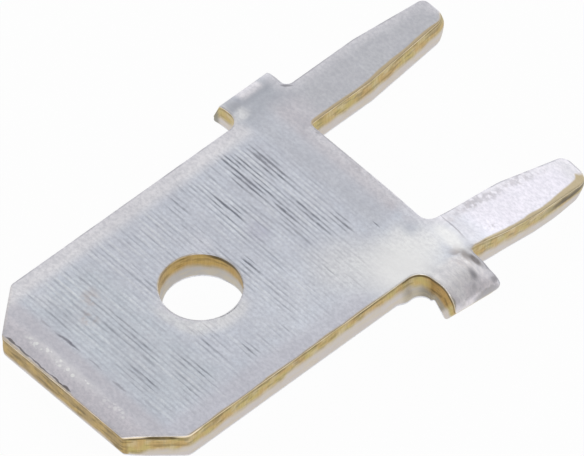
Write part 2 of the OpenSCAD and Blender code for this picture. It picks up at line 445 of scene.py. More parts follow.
def buildTerminal():
    b, e, m = blank, sheared, meshing
    outline, outward = roundedLoop(outlineCorners(), m["outlineStep"])
    hole, holeward = holeLoop(m["outlineStep"])
    rings, ringMarks = edgeRings(outline, outward, e["outlineSeed"])
    holeRings, holeMarks = edgeRings(hole, holeward, e["holeSeed"])
    grid, gridGap = faceGrid(outline)
    n, h, g, depth = len(outline), len(hole), len(grid), len(e["profile"])

    flat = np.concatenate([rings.reshape(-1, 3), holeRings.reshape(-1, 3),
                           np.column_stack([grid, np.full(g, b["thickness"])]),
                           np.column_stack([grid, np.zeros(g)])])
    gridMarks = np.column_stack([np.zeros(g), np.ones(g), np.zeros(g), gridGap])
    underMarks = gridMarks * [1, 0, 1, 1]
    marks = np.concatenate([ringMarks.reshape(-1, 4), holeMarks.reshape(-1, 4), gridMarks, underMarks])
    rimPlaces, rimWays = np.concatenate([outline, hole]), np.concatenate([outward, holeward])
    ways = rimWays[nearest(grid, rimPlaces)]
    ways = np.concatenate([np.tile(outward, (depth, 1)), np.tile(holeward, (depth, 1)), ways, ways])

    faces = []
    for base, count in ((0, n), (depth * n, h)):
        for ring in range(depth - 1):
            for i in range(count):
                j = (i + 1) % count
                above = base + ring * count
                below = above + count
                faces.append((above + i, below + i, below + j, above + j))

    rim = [Vector(v[:2]) for v in rings[0]] + [Vector(v[:2]) for v in holeRings[0]]
    edges = [(i, (i + 1) % n) for i in range(n)] + [(n + i, n + (i + 1) % h) for i in range(h)]
    spread, _, triangles, origins, _, _ = geometry.delaunay_2d_cdt(
        rim + [Vector(v) for v in grid], edges, [], 1, m["mergeGap"])
    upper, lower = [], []
    holeBase, gridBase = depth * n, depth * (n + h)
    for k, *_ in origins:
        if k < n:
            upper.append(k)
            lower.append((depth - 1) * n + k)
        elif k < n + h:
            upper.append(holeBase + k - n)
            lower.append(holeBase + (depth - 1) * h + k - n)
        else:
            upper.append(gridBase + k - n - h)
            lower.append(gridBase + g + k - n - h)
    centreHole = Vector((0, b["holeFromTip"]))
    for i, j, k in triangles:
        middle = (spread[i] + spread[j] + spread[k]) / 3
        if (middle - centreHole).length < b["holeRadius"] + m["holeMargin"]:
            continue
        if (spread[j] - spread[i]).cross(spread[k] - spread[i]) < 0:
            j, k = k, j
        faces.append((upper[i], upper[j], upper[k]))
        faces.append((lower[i], lower[k], lower[j]))

    mesh = bpy.data.meshes.new("tabTerminal")
    mesh.from_pydata(shaped(flat).tolist(), [], faces)
    mesh.validate()
    mesh.shade_smooth()
    mesh.set_sharp_from_angle(angle=math.radians(m["sharpAngle"]))
    addAttribute(mesh, "flatPlace", "FLOAT_VECTOR", flat)
    addAttribute(mesh, "edgePlace", "FLOAT_VECTOR", marks[:, :3])
    addAttribute(mesh, "rimGap", "FLOAT", marks[:, 3])
    addAttribute(mesh, "rimWay", "FLOAT_VECTOR", np.column_stack([ways, np.zeros(len(ways))]))
    print("terminal:", len(flat), "points,", len(faces), "faces")
    return addObject("tabTerminal", mesh)


# Small helpers for shader nodes. Most find their tree through their sockets.
def addNode(tree, kind, inputs=None, **settings):
    made = tree.nodes.new("ShaderNode" + kind)
    for name, value in settings.items():
        setattr(made, name, value)
    for socket, value in (inputs or {}).items():
        if isinstance(value, bpy.types.NodeSocket):
            tree.links.new(value, made.inputs[socket])
        else:
            made.inputs[socket].default_value = value
    return made


def treeOf(values):
    return next(value.id_data for value in values if isinstance(value, bpy.types.NodeSocket))


def calc(operation, *values):
    return addNode(treeOf(values), "Math", dict(enumerate(values)), operation=operation).outputs[0]


def times(first, *others):
    for other in others:
        first = calc("MULTIPLY", first, other)
    return first


def most(first, *others):
    for other in others:
        first = calc("MAXIMUM", first, other)
    return first


def without(share):
    return calc("SUBTRACT", 1.0, share)


def linear(value, factor, shift):
    return calc("MULTIPLY_ADD", value, factor, shift)


def vector(operation, *values):
    return addNode(treeOf(values), "VectorMath", dict(enumerate(values)), operation=operation).outputs


def band(value, low, high, start=0.0, end=1.0):
    inputs = {0: value, 1: low, 2: high, 3: start, 4: end}
    return addNode(value.id_data, "MapRange", inputs, interpolation_type="SMOOTHSTEP").outputs[0]


def paint(share, under, over):
    under, over = [tone if isinstance(tone, bpy.types.NodeSocket) else (*tone, 1) for tone in (under, over)]
    return addNode(share.id_data, "Mix", {0: share, 6: under, 7: over}, data_type="RGBA").outputs[2]


def grain(place, stretch, detail=2.0, rough=0.5, offset=(0, 0, 0)):
    moved = addNode(place.id_data, "Mapping", {0: place, 1: offset, 3: stretch}).outputs[0]
    inputs = {"Vector": moved, "Scale": 1.0, "Detail": detail, "Roughness": rough}
    return addNode(place.id_data, "TexNoise", inputs).outputs["Fac"]


def split(joined):
    return addNode(joined.id_data, "SeparateXYZ", {0: joined}).outputs


def spot(place, centre, size, angle=0.0, core=0.2):
    # soft oval mask on the flat sheet
    inputs = {0: place, 1: (*centre, 0), 2: (0, 0, math.radians(angle)), 3: (*size, noHeight)}
    local = addNode(place.id_data, "Mapping", inputs, vector_type="TEXTURE").outputs[0]
    return band(vector("LENGTH", local)["Value"], core, 1.0, 1.0, 0.0)


def field(axes, xs, ys, soft):
    # soft box mask on the flat sheet; a limit of None is open
    mask = 1.0
    for axis, (low, high) in ((axes["X"], xs), (axes["Y"], ys)):
        if low is not None:
            mask = times(band(axis, low - soft, low + soft), mask)
        if high is not None:
            mask = times(band(axis, high - soft, high + soft, 1, 0), mask)
    return mask


socketKinds = {"Color": "Color", "Place": "Vector", "Way": "Vector", "Edge": "Vector"}


def clearTree(owner):
    owner.use_nodes = True
    owner.node_tree.nodes.clear()
    return owner.node_tree


def startGroup(name, inputs, outputs):
    tree = bpy.data.node_groups.new(name, "ShaderNodeTree")
    for side, labels in (("INPUT", inputs), ("OUTPUT", outputs)):
        for label in labels:
            kind = "NodeSocket" + socketKinds.get(label, "Float")
            tree.interface.new_socket(label, in_out=side, socket_type=kind)
    return tree, tree.nodes.new("NodeGroupInput").outputs, tree.nodes.new("NodeGroupOutput")


def giveOut(out, values):
    for name, value in values.items():
        out.id_data.links.new(value, out.inputs[name])
    return out.id_data


def useGroup(tree, group, inputs):
    return addNode(tree, "Group", inputs, node_tree=group).outputs


rolled = {
    "linesPerMm": 7.8,  # fine even lines run across the blade, a little closer together towards the pins
    "closer": 0.08,
    "wander": 7,
    "comb": 0.5,
    "loose": 3.4,
    "unevenEnds": 1.3,
    "wanderGrain": {"stretch": (0.08, 1.6, 1), "offset": (3, 1, 0)},
    "threadGrain": {"stretch": (0.85, 9.5, 1), "detail": 4, "rough": 0.62, "offset": (1, 6, 0)},
    "patchGrain": {"stretch": (0.55, 1.5, 1), "detail": 3, "offset": (7, 4, 0)},
    "endGrain": {"stretch": (0.2, 7, 1), "detail": 2, "offset": (5, 8, 0)},
    "brokenGrain": {"stretch": (3.2, 9, 1), "detail": 3, "rough": 0.6, "offset": (2, 3, 0)},
    # ramps: from, to, and what they give there
    "patchRamp": (0.34, 0.6, 0.35, 1),
    "leftRamp": (-2.1, -1.75),
    "rightRamp": (2.9, 3.5, 1, 0),
    "tipRamp": (0.9, 1),
    "rearRamp": (8, 8.9, 1, 0.12),
    "deepRamp": (0, 0.75, 0, 2.2),
    "brokenRamp": (0.32, 0.6, 0.45, 1.15),
    "smoothSpots": [  # where the lines are weaker: x, y, half sizes, share left out
        (1.6, 4.4, 0.9, 1, 0.55), (0.4, 3.15, 1.1, 0.4, 0.6), (2, 8, 1.7, 1.2, 0.5),
        (-1.2, 4.6, 0.8, 1.2, 0.3), (0, 2.1, 1.3, 1.3, 0.35),
    ],
    "clusters": [  # where single lines are dark: x, y, half sizes, strength
        (-1.75, 7.42, 1.15, 0.45, 1.5), (-1.75, 8.05, 0.95, 0.24, 1.2), (0.85, 8.1, 0.55, 0.2, 1.4),
        (-1.35, 6.38, 0.75, 0.3, 0.9), (0.35, 5.68, 0.45, 0.2, 1), (1.9, 2.6, 0.9, 0.25, 0.8),
        (1.4, 3.4, 0.9, 0.3, 0.4), (1.1, 1.5, 0.8, 0.4, 0.6), (1.45, 8.65, 0.2, 0.07, 0.8),
        (2.1, 2.05, 0.7, 0.15, 0.5), (-0.2, 7.3, 1.4, 0.35, 0.6), (-0.2, 2.2, 1.6, 0.4, 0.4),
        (0.3, 7.75, 1, 0.3, 0.5), (-2.3, 5.6, 0.7, 0.3, 0.4), (2.2, 3.9, 0.5, 0.2, 0.5),
    ],
}


def rolledLines():
    tree, given, out = startGroup("rolledLines", ["Place"], ["Dark", "Light", "Height"])
    r = rolled
    place = given["Place"]
    axes = split(place)
    wander = grain(place, **r["wanderGrain"])
    turns = times(axes["Y"], linear(axes["Y"], r["closer"], r["linesPerMm"]))
    phase = linear(turns, 2 * math.pi, times(wander, r["wander"]))
    comb = times(calc("SINE", phase), r["comb"])
    threads = grain(place, **r["threadGrain"])
    wave = linear(calc("SUBTRACT", threads, 0.5), r["loose"], comb)
    patches = band(grain(place, **r["patchGrain"]), *r["patchRamp"])
    leftEnd = linear(grain(place, **r["endGrain"]), r["unevenEnds"], axes["X"])
    inside = times(patches, band(leftEnd, *r["leftRamp"]), band(leftEnd, *r["rightRamp"]),
                   band(axes["Y"], *r["tipRamp"]), band(axes["Y"], *r["rearRamp"]))
    for x, y, sx, sy, share in r["smoothSpots"]:
        inside = times(inside, without(times(spot(place, (x, y), (sx, sy)), share)))
    cluster = 0.0
    for x, y, sx, sy, strength in r["clusters"]:
        cluster = most(cluster, times(spot(place, (x, y), (sx, sy)), strength))
    deep = times(cluster, band(wave, *r["deepRamp"]))
    dark = linear(most(wave, 0.0), inside, deep)
    light = times(most(times(wave, -1.0), 0.0), inside)
    dark = times(dark, band(grain(place, **r["brokenGrain"]), *r["brokenRamp"]))
    return giveOut(out, {"Dark": dark, "Light": light, "Height": calc("SUBTRACT", light, dark)})


tin = {
    "color": (0.75, 0.785, 0.87),
    "lineDark": (0.16, 0.175, 0.215),
    "lineLight": (0.95, 0.98, 1),
    "darkShare": 0.55,
    "darkMost": 0.92,
    "lightShare": 0.7,
    "white": (1, 1, 1),
    "roughness": 0.37,
    "roughSpread": 0.1,
    "grainDepth": 0.0012,
    "rippleDepth": 0.006,
    # grains
    "clouds": {"stretch": (0.9, 1.2, 1), "detail": 3, "offset": (2, 9, 0)},
    "blotches": {"stretch": (2.6, 3, 1), "detail": 3, "rough": 0.6, "offset": (12, 2, 0)},
    "fineGrain": {"stretch": (9, 12, 9), "detail": 3, "rough": 0.7},
    "ripple": {"stretch": (1.6, 2.2, 1), "offset": (5, 5, 0)},
    "cloudColor": (0.5, 0.49, 0.55),
    "cloudRamp": (0.35, 0.65, 0.16, 0),
    "blotchColor": (0.85, 0.85, 0.9),
    "blotchRamp": (0.35, 0.65, 0, 0.16),
    "fineColor": (0.42, 0.43, 0.49),
    "fineRamp": (0.3, 0.7, 0.36, 0),
    # strips along the rims; a ramp over the gap from the rim. The pale strips along the far rims and the
    # hole's rim are painted highlight, the thin dark line is painted shade
    "farRimWay": (-0.75, 0.66, 0),  # outward way of the rims at the far side
    "farRimRamp": (0.1, 0.7),
    "farStrip": (0.02, 0.42, 0.75, 0),
    "nearStrip": (0.01, 0.09, 0.45, 0),
    "holeStrip": (0.12, 0.5, 0.9, 0),
    "holeStripAt": ((0.95, 3.75), (1.5, 1.5), 0, 0.5),
    "rimHighlight": (0.93, 0.91, 0.95),
    "nearRimColor": (0.86, 0.8, 0.76),
    "rimLineColor": (0.38, 0.37, 0.4),
    "rimLine": (0.02, 0.06, 1, 0),
    "rimLineGrain": {"stretch": (1.7, 1.7, 1), "detail": 3, "offset": (6, 6, 0)},
    "rimLineRamp": (0.4, 0.54, 0.25, 0.8),
    # marks wander this far from their ovals
    "drift": (0.2, 0.13, 0),
    "driftScale": 3,
    "driftDetail": 4,
    "speckleRamp": (0.4, 0.6),
    # painted highlight along the tip's upper edge: ramp over y, x limits, softness, colour, share
    "tipEdgeHighlights": [
        ((0, 0.03, 1, 0), (-2.2, 0.35), 0.05, (0.95, 0.8, 0.58), 0.9),
        ((-0.02, 0.015, 1, 0), (0.35, 1.9), 0.1, (0.86, 0.6, 0.34), 0.7),
    ],
    # painted shadow under the burr, a black line behind them: middle in x, half length, half thickness
    "tipBurrShadows": [(-1.86, 0.24, 0.042), (-1.45, 0.35, 0.028), (-0.8, 0.45, 0.02), (-0.25, 0.3, 0.028),
                  (0.12, 0.2, 0.042)],
    "burrShadowY": 0.04,
    "burrShadowCore": 0.6,
    "burrShadowShare": 0.95,
    "burrShadowColor": (0.14, 0.11, 0.085),
    # pits along the tip, painted white as sparkling highlights
    "pitScale": 9,
    "pitRamp": (0.35, 0.6, 1, 0),
    "pitChosen": (0.2, 0.45),
    "leftPitGlints": ((-0.5, 0.42), (1.5, 0.13), 1.5, 0.6),
    "rightPitGlints": ((1.35, 0.43), (0.8, 0.15), 2, 0.5),
    "rightPitShare": 0.5,
    "pitGlintHaze": ((-0.4, 0.45), (1.9, 0.22), 1.5, 0.2),
    "pitGlintHazeShare": 0.3,
    # brass laid bare along the right rims, widest near the bent pin's end
    "bareWay": (0.96, 0.28, 0),
    "bareWayRamp": (0.5, 0.85),
    "bareWhere": ((None, 3.6), (1.2, 15), 0.1),
    "bareLeftPin": ((-2, 12), (0.4, 2.5), 0, 0.85),
    "bareLeftWidth": 0.06,
    "bareBentPin": ((2.2, 4), (10.2, None), 0.2),
    "bareBentWidth": (12.3, 14.2, 0.06, 0.2),
    "bareUneven": (0.12, -0.035),
    "bareEdge": (-0.03, 0.03, 1, 0),
    "bareColor": (0.6, 0.47, 0.26),
    "bareBentColor": (0.46, 0.37, 0.19),
    "bareShare": 0.85,
    # painted highlight, bright areas before the bent parts: oval, share
    "sheens": [(((2.9, 8.2), (1.45, 1.5), 0, 0.1), 0.85), (((2.9, 9.68), (0.8, 0.35), 0, 0.3), 0.6)],
    "sheenInward": (3.4, 3.65, 1, 0),
}

# Tones of the sheet's parts, some of them painted highlight and painted shade as noted: x limits, y limits,
# softness, colour, share
tinFields = [
    ((-2.4, 2.4), (1, 3), 0.4, (0.68, 0.745, 0.8), 0.5),
    ((-4, 4), (None, 0.92), 0.14, (0.7, 0.68, 0.73), 0.85),
    ((-4, 4), (None, 0.5), 0.12, (0.86, 0.82, 0.87), 0.85),
    # paler strip along the left side: smooth tin, made brighter there as painted highlight
    ((None, -2.66), (0.4, 8.5), 0.2, (1, 0.98, 1), 0.88),
    ((2.62, None), (0.8, 7), 0.2, (0.72, 0.715, 0.785), 0.8),
    ((-3.3, 1.4), (9.15, None), 0.25, (0.74, 0.705, 0.74), 0.85),
    ((-3.3, 1.6), (8.55, 9.1), 0.25, (0.66, 0.675, 0.73), 0.7),
    ((-3.4, -1.7), (10, None), 0.3, (0.655, 0.665, 0.7), 0.85),
    ((None, -2.9), (8.4, 10.2), 0.35, (0.565, 0.59, 0.645), 0.9),
    # painted shade over the left shoulder's bend
    ((-3.9, -3.45), (8.6, 10.2), 0.12, (0.44, 0.46, 0.51), 0.6),
    # the left shoulder's rolled-over end: tin there, made near white as painted highlight
    ((None, -3.6), (8.95, 9.62), 0.1, (0.93, 0.9, 0.93), 0.9),
    ((None, -3.5), (8.3, 8.8), 0.08, (0.5, 0.51, 0.54), 0.6),
    # painted highlight over the right shoulder's bend
    ((3.45, 4.05), (8.3, 10.3), 0.12, (1, 0.97, 0.96), 0.9),
    ((3.95, None), (8.3, 10.3), 0.2, (0.84, 0.78, 0.79), 0.9),
    ((1.9, 3.52), (9.9, 10.35), 0.45, (0.7, 0.68, 0.71), 0.9),
    # painted reflection: the bent pin's top, nearly white
    ((1.9, 3.52), (10.5, None), 0.3, (0.93, 0.9, 0.98), 1),
]

# Soft pale or dark areas, some of them painted highlight and painted shade as noted: x, y, half sizes, angle,
# colour, share, core, speckle scale or 0
tinMarks = [
    # painted highlight: pale sheen over the blade's right side, towards the bent pin
    (1.9, 5.9, 1.5, 2.3, 0, (0.88, 0.92, 1), 0.7, 0.1, 0),
    (1.9, 7.3, 1.3, 1.3, 30, (1, 1, 1), 0.75, 0.15, 0),
    (-0.9, 5.2, 0.7, 0.5, 0, (0.88, 0.9, 0.98), 0.6, 0.1, 0),
    # painted highlight by the left shoulder's root
    (-3.3, 8.62, 0.25, 0.32, 20, (1, 1, 1), 0.75, 0.2, 0),
    (-2.3, 1.35, 0.5, 0.35, 0, (0.9, 0.92, 0.98), 0.6, 0.1, 0),
    # painted highlight: white sheen before the bent pin, up to its crease
    (2.75, 8.3, 1.35, 1.3, 0, (1, 1, 1), 0.95, 0.25, 0),
    (2.45, 9.1, 0.95, 0.7, 20, (1, 1, 1), 0.9, 0.3, 0),
    (3, 9.7, 0.8, 0.2, -3, (1, 1, 1), 0.95, 0.35, 0),
    # painted shade along the bent pin's crease
    (2.68, 9.98, 0.7, 0.04, -7, (0.3, 0.29, 0.32), 0.85, 0.3, 0),
    (2.1, 9.2, 0.45, 0.35, 0, (0.6, 0.63, 0.7), 0.9, 0.1, 0),
    (3.4, 8.72, 0.35, 0.16, 20, (0.62, 0.62, 0.66), 0.6, 0.2, 0),
    (3.5, 9.5, 0.5, 0.34, -10, (0.46, 0.41, 0.39), 0.85, 0.1, 3),
    # painted shadow in the cleft between the bent pin and the right shoulder
    (3.56, 9.62, 0.26, 0.14, -15, (0.36, 0.32, 0.3), 0.85, 0.2, 0),
    (3.71, 9.73, 0.2, 0.12, 15, (0.17, 0.14, 0.12), 0.95, 0.35, 0),
    (3.62, 9.25, 0.32, 0.12, 20, (0.68, 0.58, 0.56), 0.7, 0.2, 6),
    (3.95, 9.4, 0.2, 0.17, 0, (0.2, 0.19, 0.2), 0.85, 0.1, 0),
    (4.14, 9.22, 0.16, 0.15, 0, (0.36, 0.35, 0.36), 0.6, 0.1, 0),
    # painted highlight on the curved right shoulder
    (4.1, 8.78, 0.28, 0.26, 0, (1, 0.98, 0.98), 0.65, 0.3, 0),
    (4.25, 8.49, 0.3, 0.06, 0, (0.42, 0.37, 0.25), 0.85, 0.4, 0),
    (4.37, 9.1, 0.12, 0.6, 0, (0.36, 0.35, 0.32), 0.8, 0.4, 2),
    (4.44, 9.55, 0.13, 0.6, 0, (0.36, 0.34, 0.33), 0.85, 0.5, 0),
    (4.1, 9.85, 0.5, 0.14, 12, (0.45, 0.42, 0.42), 0.7, 0.3, 4),
    (2.4, 11.2, 0.22, 1.3, -3, (0.56, 0.53, 0.56), 0.85, 0.3, 6),
    (2.45, 12.8, 0.2, 1.1, -5, (0.62, 0.59, 0.63), 0.85, 0.3, 6),
    (3.16, 10.85, 0.16, 0.18, 0, (0.6, 0.57, 0.62), 0.8, 0.2, 11),
    (2.9, 14.05, 0.6, 0.35, 0, (0.76, 0.75, 0.78), 0.7, 0.2, 0),
    (2.45, 10.15, 0.3, 0.4, 0, (0.58, 0.55, 0.57), 0.6, 0.2, 5),
    (-1.5, 2.25, 0.5, 0.35, -35, (0.62, 0.53, 0.5), 0.6, 0.2, 5),
    (-1.08, 1.8, 0.34, 0.3, 0, (0.6, 0.5, 0.47), 0.7, 0.2, 6),
    (0.35, 3.22, 0.95, 0.2, 12, (0.86, 0.88, 0.9), 0.6, 0.3, 0),
    # painted highlight beside the hole's right rim
    (1.15, 4.1, 0.42, 0.8, -12, (1, 1, 1), 0.65, 0.2, 0),
    (0.85, 3.42, 0.6, 0.35, 38, (1, 1, 1), 0.62, 0.2, 0),
    (1.14, 4.6, 0.25, 0.4, 0, (1, 1, 1), 0.6, 0.3, 0),
    (-0.3, 6.5, 0.5, 0.4, 0, (0.62, 0.62, 0.76), 0.5, 0.1, 0),
    (-1.9, 9.45, 0.6, 0.3, 0, (0.56, 0.54, 0.58), 0.5, 0.1, 3),
    (0, 9.52, 1, 0.12, 0, (0.55, 0.52, 0.55), 0.5, 0.2, 5),
    (1.55, 9.35, 0.6, 0.3, 0, (0.6, 0.56, 0.6), 0.5, 0.1, 3),
    (-3.24, 10.02, 0.24, 0.05, 42, (0.24, 0.23, 0.25), 0.8, 0.3, 0),
    (-1.72, 9.58, 0.28, 0.07, -13, (0.35, 0.33, 0.33), 0.75, 0.3, 6),
    (-0.91, 0.975, 0.55, 0.05, 1, (0.16, 0.16, 0.2), 0.9, 0.3, 0),
    (0.95, 0.95, 0.34, 0.05, 1, (0.3, 0.3, 0.35), 0.85, 0.3, 0),
    (-1.75, 0.97, 0.35, 0.035, 0, (0.4, 0.4, 0.45), 0.7, 0.4, 4),
    (0.1, 0.98, 0.5, 0.035, 0, (0.4, 0.4, 0.45), 0.6, 0.4, 4),
]


def tinFace():
    tree, given, out = startGroup("tinFace", ["Place", "Gap", "Way", "Dark", "Light"],
                                  ["Color", "Roughness", "Height"])
    t = tin
    place, gap = given["Place"], given["Gap"]
    axes = split(place)
    clouds = grain(place, **t["clouds"])
    blotches = grain(place, **t["blotches"])
    fineGrain = grain(place, **t["fineGrain"])
    color = t["color"]
    for xs, ys, soft, tone, share in tinFields:
        color = paint(times(field(axes, xs, ys, soft), share), color, tone)
    # painted highlight: pale strips along the far rims and the hole's rim; a cream strip along the near rims
    farRim = band(vector("DOT_PRODUCT", given["Way"], t["farRimWay"])["Value"], *t["farRimRamp"])
    color = paint(times(farRim, band(gap, *t["farStrip"])), color, t["rimHighlight"])
    nearStrip = times(without(farRim), band(gap, *t["nearStrip"]))
    color = paint(nearStrip, color, t["nearRimColor"])
    holeStrip = times(spot(place, *t["holeStripAt"]), band(gap, *t["holeStrip"]))
    color = paint(holeStrip, color, t["rimHighlight"])
    # marks, with edges that wander
    drifting = {"Vector": place, "Scale": t["driftScale"], "Detail": t["driftDetail"]}
    shifts = addNode(tree, "TexNoise", drifting).outputs["Color"]
    loose = vector("MULTIPLY_ADD", shifts, t["drift"], place)[0]
    loose = vector("SUBTRACT", loose, [d / 2 for d in t["drift"]])[0]
    for x, y, sx, sy, angle, tone, share, core, speckle in tinMarks:
        mask = times(spot(loose, (x, y), (sx, sy), angle, core), share)
        if speckle:
            holes = grain(place, (speckle, speckle, 1), detail=3, offset=(x, y, 0))
            mask = times(mask, band(holes, *t["speckleRamp"]))
        color = paint(mask, color, tone)
    # rolled lines
    color = paint(times(given["Light"], t["lightShare"]), color, t["lineLight"])
    darkShare = calc("MINIMUM", times(given["Dark"], t["darkShare"]), t["darkMost"])
    color = paint(darkShare, color, t["lineDark"])
    # painted highlight along the tip's upper edge, and painted shadow as a black line under its burr
    for ramp, xs, soft, tone, share in t["tipEdgeHighlights"]:
        lip = times(band(axes["Y"], *ramp), field(axes, xs, (None, None), soft))
        color = paint(times(lip, share), color, tone)
    for x, half, thick in t["tipBurrShadows"]:
        burrShadow = spot(loose, (x, t["burrShadowY"]), (half, thick), 0, t["burrShadowCore"])
        color = paint(times(burrShadow, t["burrShadowShare"]), color, t["burrShadowColor"])
    # painted shade: a thin dark line along parts of the far rims
    thin = times(band(gap, *t["rimLine"]), band(grain(place, **t["rimLineGrain"]), *t["rimLineRamp"]))
    color = paint(times(thin, farRim), color, t["rimLineColor"])
    for texture, ramp, tone in ((clouds, "cloudRamp", "cloudColor"), (blotches, "blotchRamp", "blotchColor"),
                                (fineGrain, "fineRamp", "fineColor")):
        color = paint(band(texture, *t[ramp]), color, t[tone])
    # painted highlight: pits along the tip painted white as sparkles
    cells = addNode(tree, "TexVoronoi", {"Vector": place, "Scale": t["pitScale"]}).outputs
    dots = band(cells["Distance"], *t["pitRamp"])
    dots = times(dots, band(split(cells["Color"])["X"], *t["pitChosen"]))
    leftPitGlints = times(spot(loose, *t["leftPitGlints"]), dots)
    rightPitGlints = times(spot(loose, *t["rightPitGlints"]), times(dots, t["rightPitShare"]))
    glintHaze = times(spot(loose, *t["pitGlintHaze"]), t["pitGlintHazeShare"])
    color = paint(most(leftPitGlints, rightPitGlints, glintHaze), color, t["white"])
    # bare brass
    outer = vector("DOT_PRODUCT", given["Way"], t["bareWay"])["Value"]
    onBent = field(axes, *t["bareBentPin"])
    width = times(spot(place, *t["bareLeftPin"]), t["bareLeftWidth"])
    width = linear(onBent, band(axes["Y"], *t["bareBentWidth"]), width)
    width = calc("ADD", width, linear(clouds, *t["bareUneven"]))
    bare = times(band(calc("SUBTRACT", gap, width), *t["bareEdge"]),
                 band(outer, *t["bareWayRamp"]), field(axes, *t["bareWhere"]))
    bareTone = paint(onBent, t["bareColor"], t["bareBentColor"])
    color = paint(times(bare, t["bareShare"]), color, bareTone)
    # painted highlight: white sheen before the bent parts
    sheen = most(*[times(spot(loose, *oval), share) for oval, share in t["sheens"]])
    color = paint(times(sheen, band(axes["X"], *t["sheenInward"])), color, t["white"])
    ripple = times(grain(place, **t["ripple"]), t["rippleDepth"])
    return giveOut(out, {
        "Color": color,
        "Roughness": linear(clouds, t["roughSpread"], t["roughness"]),
        "Height": linear(fineGrain, t["grainDepth"], ripple),
    })


brass = {
    "color": (0.56, 0.455, 0.19),
    "warmColor": (0.6, 0.41, 0.19),
    "warmRamp": (0.4, 0.65, 0, 0.7),
    "paleColor": (0.66, 0.56, 0.36),
    "paleRamp": (0.45, 0.68, 0, 0.6),
    "darkColor": (0.1, 0.07, 0.025),
    "holeColor": (0.5, 0.33, 0.11),
    "holeShare": 0.8,
    "tipColor": (0.39, 0.275, 0.125),
    "tipWarmColor": (0.53, 0.38, 0.15),
    "tipWarmRamp": (0.42, 0.6),
    "tipShare": 0.85,
    "rootColor": (0.47, 0.29, 0.09),
    "rootShare": 0.9,
    "wallRamp": (0.3, 0.7),
    "roughness": 0.32,
    "roughSpread": 0.2,
    "grainDepth": 0.0035,
    # grains along the edge
    "wander": {"stretch": (1.6, 0.2, 1), "detail": 3},
    "patches": {"stretch": (2.4, 2.2, 1), "detail": 3, "offset": (3, 3, 0)},
    "others": {"stretch": (3.6, 3, 1), "detail": 3, "offset": (9, 1, 0)},
    "pulls": {"stretch": (20, 1.5, 1), "rough": 0.6, "offset": (1, 8, 0)},
    "streaks": {"stretch": (2, 6, 1), "detail": 3, "rough": 0.6, "offset": (6, 3, 0)},
    "torn": {"stretch": (0.9, 0, 1), "detail": 3, "offset": (4, 2, 0)},
    "glints": {"stretch": (1.1, 0, 1), "offset": (14, 6, 0)},
    # places on the flat sheet: soft ovals, and ramps over y or x
    "hole": ((0, 4.37), (1.3, 1.3), 0, 0.95),
    "holeFar": ((-0.17, 5.32), (0.66, 0.6), 0, 0.4),
    "root": ((3.6, 8.35), (0.75, 0.6), 0, 0.8),
    "clip": ((2.65, 0.5), (0.8, 0.8), 0, 0.6),
    "clipCorner": ((2.2, 0.1), (0.5, 0.5), 0, 0.4),
    # ovals where a painted highlight brightens the upper rim
    "brightTip": ((2.32, 0.2), (0.4, 0.4), 0, 0.4),
    "brightSide": ((3.2, 1.2), (0.4, 0.5), 0, 0.4),
    "rightSide": ((3, None), (4.2, 8.2), 0.1),
    "tipY": (0.05, 0.12, 1, 0),
    "rightOfRootX": (3.3, 3.7),
    "deepRootShadeX": (3.22, 3.46),
    "bentEndY": (12.2, 13.4),
    "rightPinX": (2, 2.4),
    "rightHoleX": (0.25, 0.5),
    "leftCornerX": (-4.05, -3.9, 1, 0),
    "leftCornerY": (8.9, 9.1, 1, 0),
    "pinRootY": (9.6, 9.7),
    "pinMiddleY": (11.9, 12.9, 1, 0.2),
    # dark pulls and streaks
    "pullRamp": (0.35, 0.65, 0.14, 0),
    "streakRamp": (0.48, 0.64),
    "streakShare": 0.85,
    "roughPlaces": 0.66,
    "roughElsewhere": 0.45,
    # burnished silver below, up to a height that changes from place to place
    "silver": (0.61, 0.565, 0.54),
    "holeSilver": (0.5, 0.475, 0.45),
    # painted shade: the silver is darker in the concave root fillet, darkest towards its right
    "shadedRootSilver": (0.54, 0.5, 0.44),
    "deepShadedRootSilver": (0.31, 0.28, 0.23),
    "silverRamp": (0.3, 0.56, 1, 0),
    "paleStreakRamp": (0.42, 0.62, 0, 0.3),
    "silverLift": 0.1,
    "silverWander": -0.3,
    "tipLift": 0.27,
    "rightSideLift": -0.12,
    "clipLift": 0.14,
    "clipCornerLift": 0.2,
    "rootLift": 0.1,
    # groove and bulge along the end of the bent pin
    "wavy": 0.3,
    "grooveFrom": (0.7, 0.8),
    "grooveTo": (0.96, 1.06, 1, 0),
    "grooveShare": 0.9,
    "bulgeRamp": (1.02, 1.08),
    "bulgeShare": 0.7,
    "cornerColor": (0.27, 0.26, 0.22),
    "cornerShare": 0.85,
    # painted shade as a dark line below the upper rim, and painted highlight as a bright rim above it
    "lineFrom": (0.83, 0.9),
    "lineTo": (0.92, 0.97, 1, 0),
    "lineBroken": (0.42, 0.6, 0.1, 0.75),
    "rootLine": 0.85,
    "rightHoleLine": 0.6,
    "clipBroken": (0.35, 0.5, 0.4, 1),
    "thickLine": (0.86, 0.93),
    "thickWavy": 0.12,
    "thickShare": 0.95,
    "cream": (0.95, 0.82, 0.62),
    "glintFrom": (0.93, 0.98),
    "glintBroken": (0.42, 0.56, 0.25, 0.9),
    "glintLess": 0.8,  # share left out in the hole
    "brightFrom": (0.88, 0.94),
}


